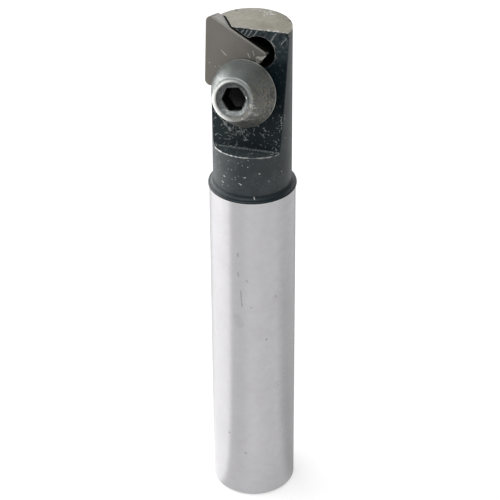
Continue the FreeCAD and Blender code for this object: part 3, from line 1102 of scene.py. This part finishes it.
def rough_block(name, width, depth, height):
    """A block with a rough lower face, which breaks carbide."""
    steps = BREAK_STEPS
    rows = []
    for row in range(steps + 1):
        line = []
        for column in range(steps + 1):
            spot = Vector((width * column / steps, -depth * row / steps, 0.0))
            rough = COARSE_HEIGHT * noise.noise(spot / COARSE_SIZE)
            rough += FINE_HEIGHT * noise.noise((spot + FINE_OFFSET) / FINE_SIZE)
            line.append(spot + Vector((0.0, 0.0, rough * min(1.0, row / 3.0))))
        rows.append(line)
    solid = bmesh.new()
    low = [[solid.verts.new(point) for point in line] for line in rows]
    high = [[solid.verts.new((point.x, point.y, height)) for point in line] for line in rows]
    for sheet in (low, high):
        for row in range(steps):
            for column in range(steps):
                corners = (sheet[row][column], sheet[row][column + 1])
                solid.faces.new((*corners, sheet[row + 1][column + 1], sheet[row + 1][column]))
    for step in range(steps):
        for side in (0, steps):
            solid.faces.new((low[side][step], low[side][step + 1], high[side][step + 1], high[side][step]))
            solid.faces.new((low[step][side], low[step + 1][side], high[step + 1][side], high[step][side]))
    return made_piece(name, solid, INSERT_BREAK)


def chip_cutter(insert):
    """What breaks the sloping facet at the insert's inner tip."""
    middle, inner = insert_middle(insert)
    width = 2.0 * insert.chip_length
    cutter = rough_block("chip_cutter", width, 1.8 * insert.chip_length, insert.thickness)
    back = insert.nose_radius + insert.chip_length
    start = middle + Vector((2.0 * inner - back, -insert.chip_across, 0.0))
    slope = Matrix.Rotation(insert.chip_slope, 4, "X")
    turn = Matrix.Rotation(insert.chip_turn, 4, "Z")
    return move(cutter, Matrix.Translation(start) @ turn @ slope)


def chip_end_cutter(insert, back, turn):
    """What breaks the insert's inner tip off steeply, so far back and facing so."""
    middle, inner = insert_middle(insert)
    width = 0.5 * insert.side
    cutter = rough_block("chip_end_cutter", width, 2.0 * insert.thickness, insert.thickness)
    away = Vector((math.cos(turn), math.sin(turn), 0.0))
    along = Vector((-away.y, away.x, 0.0))
    above = Vector((0.0, 0.0, 1.0))
    tip = middle + Vector((2.0 * inner, 0.0, 0.0))
    start = tip - away * back - along * width / 2.0 + above * 0.3 * insert.thickness
    return move(cutter, frame_matrix(along, above, away, start))


class ENDMILL_OT_carbide_insert(bpy.types.Operator):
    """Grind the triangular insert and break its inner tip"""

    bl_idname = "endmill.carbide_insert"
    bl_label = "Carbide insert"

    def execute(self, context):
        mill = context.scene.end_mill
        insert = mill.insert
        seat = seat_frame(mill.body)
        middle, inner = insert_middle(insert)
        heel = Vector((middle.x, middle.y, insert.rise - insert.thickness))
        heel_inner = inner - insert.thickness * math.tan(insert.clearance)
        edge = middle - Vector((0.0, 0.0, insert.edge_drop))
        rings = [
            triangle(heel, heel_inner, insert.heel_radius, 12),
            triangle(edge, inner, insert.nose_radius, 12),
            triangle(middle, inner - insert.edge_land, insert.nose_radius - insert.edge_land, 12),
        ]
        piece = loft("ground_insert", rings, INSERT_FLANK)
        paint(piece, [
            carbide("carbide_rake", 0.55, mill.finish.carbide, mill.finish, seat),
            carbide("carbide_flank", 1.0, mill.finish.carbide_flank, mill.finish, seat),
            broken_carbide(mill.finish, seat),
            carbide("carbide_edge_highlight", 0.55, mill.finish.carbide_edge_highlight, mill.finish, seat),
        ])
        # The land along the inner cutting edge takes the lighter carbide as a painted highlight; the other
        # lands take the rake face's
        for face in piece.data.polygons:
            if face.normal.z > 0.5:
                inner_edge = face.normal.x > 0.0 and face.normal.y > 0.0
                face.material_index = INSERT_EDGE if inner_edge else 0
            if face.normal.z > 0.9999:
                face.material_index = 0
        carve(piece, chip_cutter(insert))
        carve(piece, chip_end_cutter(insert, insert.chip_end_back, insert.chip_end_turn))
        carve(piece, chip_end_cutter(insert, insert.chip_corner_back, insert.chip_corner_turn))
        move(piece, seat)
        soften(piece, 0.015 * MM, INSERT_EDGE, 45.0)
        enter(piece, "holder", "carbide_insert")
        return {"FINISHED"}


def under_head(screw):
    """Height at which the screw's shank meets the sloping underside of its head."""
    return -(screw.head_radius - screw.radius) * math.tan(screw.head_lean)


def head_outline(screw, core):
    """Radius and height of the clamp screw without its thread, from its end to the dish."""
    cone = math.atan2(screw.head_height - screw.head_band, screw.head_radius - screw.rim_radius)
    rim = screw.rim_round
    chamfer = screw.end_chamfer / 2.0
    under = under_head(screw)
    outline = [(core - chamfer, -screw.reach), (core, -screw.reach + chamfer)]
    outline += [(core, under - 2.2 * screw.pitch), (screw.radius, under - 1.6 * screw.pitch)]
    outline += [(screw.radius, under)]
    outline += [(screw.head_radius, 0.0), (screw.head_radius, screw.head_band)]
    half = math.radians(90.0) - cone / 2.0
    back = rim / math.tan(half)
    centre = (screw.rim_radius - back, screw.head_height - rim)
    start = 90.0 - math.degrees(cone)
    outline += arc(centre, rim, start, 90.0, 8)
    lip = 0.06 * MM
    outline += arc((screw.dish_radius + lip, screw.head_height - lip), lip, 90.0, 180.0, 4)
    outline += [(screw.socket_flats / math.sqrt(3.0), screw.head_height - screw.dish_depth)]
    return outline


def socket_cutter(screw):
    """The hexagon socket, with its drilled point and a small lead-in."""
    corner = screw.socket_flats / math.sqrt(3.0)
    mouth = screw.head_height - screw.dish_depth
    bottom = mouth - screw.socket_depth
    rings = [[Vector((0.0, 0.0, bottom - 0.5 * screw.socket_flats * math.tan(math.radians(30.0))))]]
    for height in (bottom, screw.head_height):
        ring = []
        for index in range(6):
            angle = math.radians(60.0 * index) + screw.socket_turn
            ring.append(Vector((corner * math.cos(angle), corner * math.sin(angle), height)))
        rings.append(ring)
    return loft("socket_cutter", rings)


# The thread's depth, the halves of its foot and crest and its fading ends, all counted in pitches

THREAD_DEPTH = 0.61
THREAD_FOOT = 0.42
THREAD_CREST = 0.07
THREAD_END = 0.4
THREAD_STEPS = 48


def thread(screw, core, low, high):
    """A ridge of triangular section wound round the screw, which fades at both ends."""
    per_turn = THREAD_STEPS
    turns = (high - low) / screw.pitch
    steps = int(turns * per_turn)
    solid = bmesh.new()
    rows = []
    for step in range(steps + 1):
        angle = 2.0 * math.pi * step / per_turn
        height = low + screw.pitch * step / per_turn
        fade = min(1.0, step / (THREAD_END * per_turn), (steps - step) / (THREAD_END * per_turn))
        crest = core + (screw.radius - core) * fade
        sunk = core - 0.03 * MM
        section = ((sunk, -THREAD_FOOT), (crest, -THREAD_CREST), (crest, THREAD_CREST), (sunk, THREAD_FOOT))
        row = []
        for radius, share in section:
            point = (radius * math.cos(angle), radius * math.sin(angle), height + share * screw.pitch)
            row.append(solid.verts.new(point))
        rows.append(row)
    for first, second in zip(rows, rows[1:]):
        for index in range(4):
            following = (index + 1) % 4
            solid.faces.new((first[index], first[following], second[following], second[index]))
    solid.faces.new(rows[0])
    solid.faces.new(rows[-1])
    bmesh.ops.recalc_face_normals(solid, faces=solid.faces[:])
    return solid


class ENDMILL_OT_clamp_screw(bpy.types.Operator):
    """Turn the clamp screw, broach its socket and cut its thread"""

    bl_idname = "endmill.clamp_screw"
    bl_label = "Clamp screw"

    def execute(self, context):
        mill = context.scene.end_mill
        screw = mill.screw
        core = screw.radius - THREAD_DEPTH * screw.pitch
        piece = turned("threaded_screw", head_outline(screw, core), HEAD_STEPS)
        carve(piece, socket_cutter(screw))
        soften(piece, 0.05 * MM, 0)
        settle(piece)
        high = under_head(screw) - 1.9 * screw.pitch
        joined = thread(screw, core, -screw.reach + 0.5 * screw.pitch, high)
        joined.from_mesh(piece.data)
        joined.to_mesh(piece.data)
        joined.free()
        place = screw_frame()
        move(piece, place)
        paint(piece, [screw_head(mill.finish, place, screw)])
        enter(piece, "screw", "clamp_screw")
        return {"FINISHED"}


# Floor, light and camera

FLOOR_RADIUS = 2.0
FLOOR_DEPTH = 0.02
WORLD_LEVEL = 0.43

CAMERA_AZIMUTH = 15.73
CAMERA_DISTANCE = 0.23472
CAMERA_HEIGHT = 0.19077
CAMERA_PITCH = 32.738
CAMERA_YAW = -0.097
CAMERA_ROLL = -0.369
CAMERA_LENS = 142.1

# Angles to the camera's right of the side that metal sees dark and of the bright side

DARK_SIDE = 98.0
BRIGHT_SIDE = -119.0

# Name, angle to the camera's right, elevation, distance, width, height and power

SOFTBOXES = (
    ("side_light", BRIGHT_SIDE, 22.0, 0.45, 0.80, 0.45, 5.2),
    ("front_light", -25.0, 62.0, 0.60, 0.45, 0.35, 2.2),
    ("rim_light", 155.0, 20.0, 0.50, 0.25, 0.40, 0.5),
)


def studio_floor(finish):
    """Pale floor, nearly white to the camera. Metal sees it darker away from the bright side, and sees a
    painted shadow near the tool on its dark side.
    """
    material = bpy.data.materials.new("studio_floor")
    tree = empty_tree(material)
    place = tree.add("ShaderNodeTexCoord").outputs["Object"]
    make_groups()
    cloud = tree.cloud(place, 30.0)
    rays = tree.add("ShaderNodeLightPath").outputs
    shade = tree.blend(tree.times(cloud, 0.04), finish.floor, studio_grey(0.8))
    flat = tree.vector("MULTIPLY", place, (1.0, 1.0, 0.0))
    way = tree.vector("NORMALIZE", flat)
    to_left = tree.dot(way, toward(BRIGHT_SIDE, 0.0))
    to_right = tree.dot(way, toward(DARK_SIDE + 24.0, 0.0))
    # Painted shadow: reflections see the floor darker close to the tool on its dark side
    near = tree.fade(tree.vector("LENGTH", flat), 0.11, 0.01, 0.08, 0.24)
    to_back = tree.dot(way, toward(180.0, 0.0))
    dark = tree.most(tree.fade(to_left, 0.40, 0.68, 0.3, 0.0), tree.fade(to_back, 0.6, 0.95, 0.0, 0.45))
    dark = tree.plus(dark, tree.times(near, tree.fade(to_right, 0.45, 0.95)))
    beside = tree.times(tree.fade(to_left, -0.4, 0.1, 0.0, 0.08), tree.fade(to_left, 0.65, 0.45))
    dark = tree.plus(dark, beside)
    dark = tree.times(rays["Is Glossy Ray"], dark)
    shade = tree.blend(dark, shade, studio_grey(0.0))
    matt = tree.add("ShaderNodeBsdfDiffuse", {"Color": shade}).outputs[0]
    strength = tree.minus(1.0, dark)
    glow = tree.add("ShaderNodeEmission", {"Color": studio_grey(1.0), "Strength": strength}).outputs[0]
    seen = tree.most(rays["Is Camera Ray"], rays["Is Glossy Ray"], rays["Is Transmission Ray"])
    far = tree.fade(tree.vector("LENGTH", flat), 0.12, 0.5, 0.6, 1.0)
    glow_share = tree.times(seen, far)
    mixed = tree.add("ShaderNodeMixShader", {0: glow_share, 1: matt, 2: glow}).outputs[0]
    tree.add("ShaderNodeOutputMaterial", {"Surface": mixed})
    return material


def studio_grey(value):
    """A grey."""
    return (value, value, value, 1.0)


def studio_world():
    """Even grey light, white to the camera and pale to metal, which sees it darker on the dark side."""
    world = bpy.data.worlds.new("studio")
    tree = empty_tree(world)
    rays = tree.add("ShaderNodeLightPath").outputs
    seen = tree.most(rays["Is Camera Ray"], rays["Is Glossy Ray"], rays["Is Transmission Ray"])
    way = tree.add("ShaderNodeTexCoord").outputs["Generated"]
    side = tree.dot(way, toward(DARK_SIDE, 5.0))
    dark = tree.times(rays["Is Glossy Ray"], tree.fade(side, 0.1, 0.9, 0.25, 0.6))
    strength = tree.minus(tree.plus(WORLD_LEVEL, tree.times(seen, 1.0 - WORLD_LEVEL)), dark)
    light = tree.add("ShaderNodeBackground", {"Color": studio_grey(1.0), "Strength": strength}).outputs[0]
    tree.add("ShaderNodeOutputWorld", {"Surface": light})
    return world


def toward(azimuth, elevation):
    """A fixed direction from the tool, by its angle to the right of the front view and above the floor."""
    turn = math.radians(CAMERA_AZIMUTH + azimuth)
    rise = math.radians(elevation)
    return Vector((math.sin(turn) * math.cos(rise), -math.cos(turn) * math.cos(rise), math.sin(rise)))


def add_softbox(name, azimuth, elevation, distance, width, height, power):
    """A soft lamp that faces the tool's middle."""
    data = bpy.data.lights.new(name, "AREA")
    data.shape = "RECTANGLE"
    data.size = width
    data.size_y = height
    data.energy = power
    lamp = bpy.data.objects.new(name, data)
    way = toward(azimuth, elevation)
    lamp.location = way * distance + Vector((0.0, 0.0, OVERALL_LENGTH / 2.0))
    lamp.rotation_mode = "QUATERNION"
    lamp.rotation_quaternion = (-way).to_track_quat("-Z", "Y")
    bpy.context.scene.collection.objects.link(lamp)


def add_camera():
    """The camera at the photograph's angle, looking down at the tool."""
    data = bpy.data.cameras.new("camera")
    data.lens = CAMERA_LENS
    data.sensor_width = 36.0
    data.clip_start = 0.01
    data.clip_end = 10.0
    camera = bpy.data.objects.new("camera", data)
    pitch = math.radians(CAMERA_PITCH)
    yaw = math.radians(CAMERA_YAW)
    roll = math.radians(CAMERA_ROLL)
    ahead = Vector((math.sin(yaw) * math.cos(pitch), math.cos(yaw) * math.cos(pitch), -math.sin(pitch)))
    level = Vector((math.cos(yaw), -math.sin(yaw), 0.0))
    above = level.cross(ahead)
    right = math.cos(roll) * level + math.sin(roll) * above
    up = -math.sin(roll) * level + math.cos(roll) * above
    stand = frame_matrix(right, up, -ahead, Vector((0.0, -CAMERA_DISTANCE, CAMERA_HEIGHT)))
    camera.matrix_world = Matrix.Rotation(math.radians(CAMERA_AZIMUTH), 4, "Z") @ stand
    bpy.context.scene.collection.objects.link(camera)
    bpy.context.scene.camera = camera


class ENDMILL_OT_stage(bpy.types.Operator):
    """Lay the floor, hang the lamps and place the camera"""

    bl_idname = "endmill.stage"
    bl_label = "Stage"

    def execute(self, context):
        mill = context.scene.end_mill
        floor = turned("studio_floor", [(FLOOR_RADIUS, -FLOOR_DEPTH), (FLOOR_RADIUS, 0.0)], ROUND_STEPS)
        floor.data.materials.append(studio_floor(mill.finish))
        context.scene.world = studio_world()
        for softbox in SOFTBOXES:
            add_softbox(*softbox)
        add_camera()
        context.scene.view_settings.view_transform = "Standard"
        return {"FINISHED"}


class ENDMILL_PT_build(bpy.types.Panel):
    """Buttons that build the end mill and its stage"""

    bl_label = "End mill"
    bl_idname = "ENDMILL_PT_build"
    bl_space_type = "VIEW_3D"
    bl_region_type = "UI"
    bl_category = "End mill"

    def draw(self, context):
        for operator in OPERATORS:
            self.layout.operator(operator.bl_idname)


OPERATORS = (
    ENDMILL_OT_cutter_body,
    ENDMILL_OT_carbide_insert,
    ENDMILL_OT_clamp_screw,
    ENDMILL_OT_stage,
)
CLASSES = (BodySizes, InsertSizes, ScrewSizes, Finish, EndMill, *OPERATORS, ENDMILL_PT_build)


def register():
    """Register the classes and the sizes."""
    for item in CLASSES:
        bpy.utils.register_class(item)
    bpy.types.Scene.end_mill = bpy.props.PointerProperty(type=EndMill)


def unregister():
    """Take the classes and the sizes away."""
    del bpy.types.Scene.end_mill
    for item in reversed(CLASSES):
        bpy.utils.unregister_class(item)


def main():
    """Build the pieces and the stage."""
    register()
    bpy.ops.endmill.cutter_body()
    bpy.ops.endmill.carbide_insert()
    bpy.ops.endmill.clamp_screw()
    bpy.ops.endmill.stage()


if __name__ == "__main__":
    main()
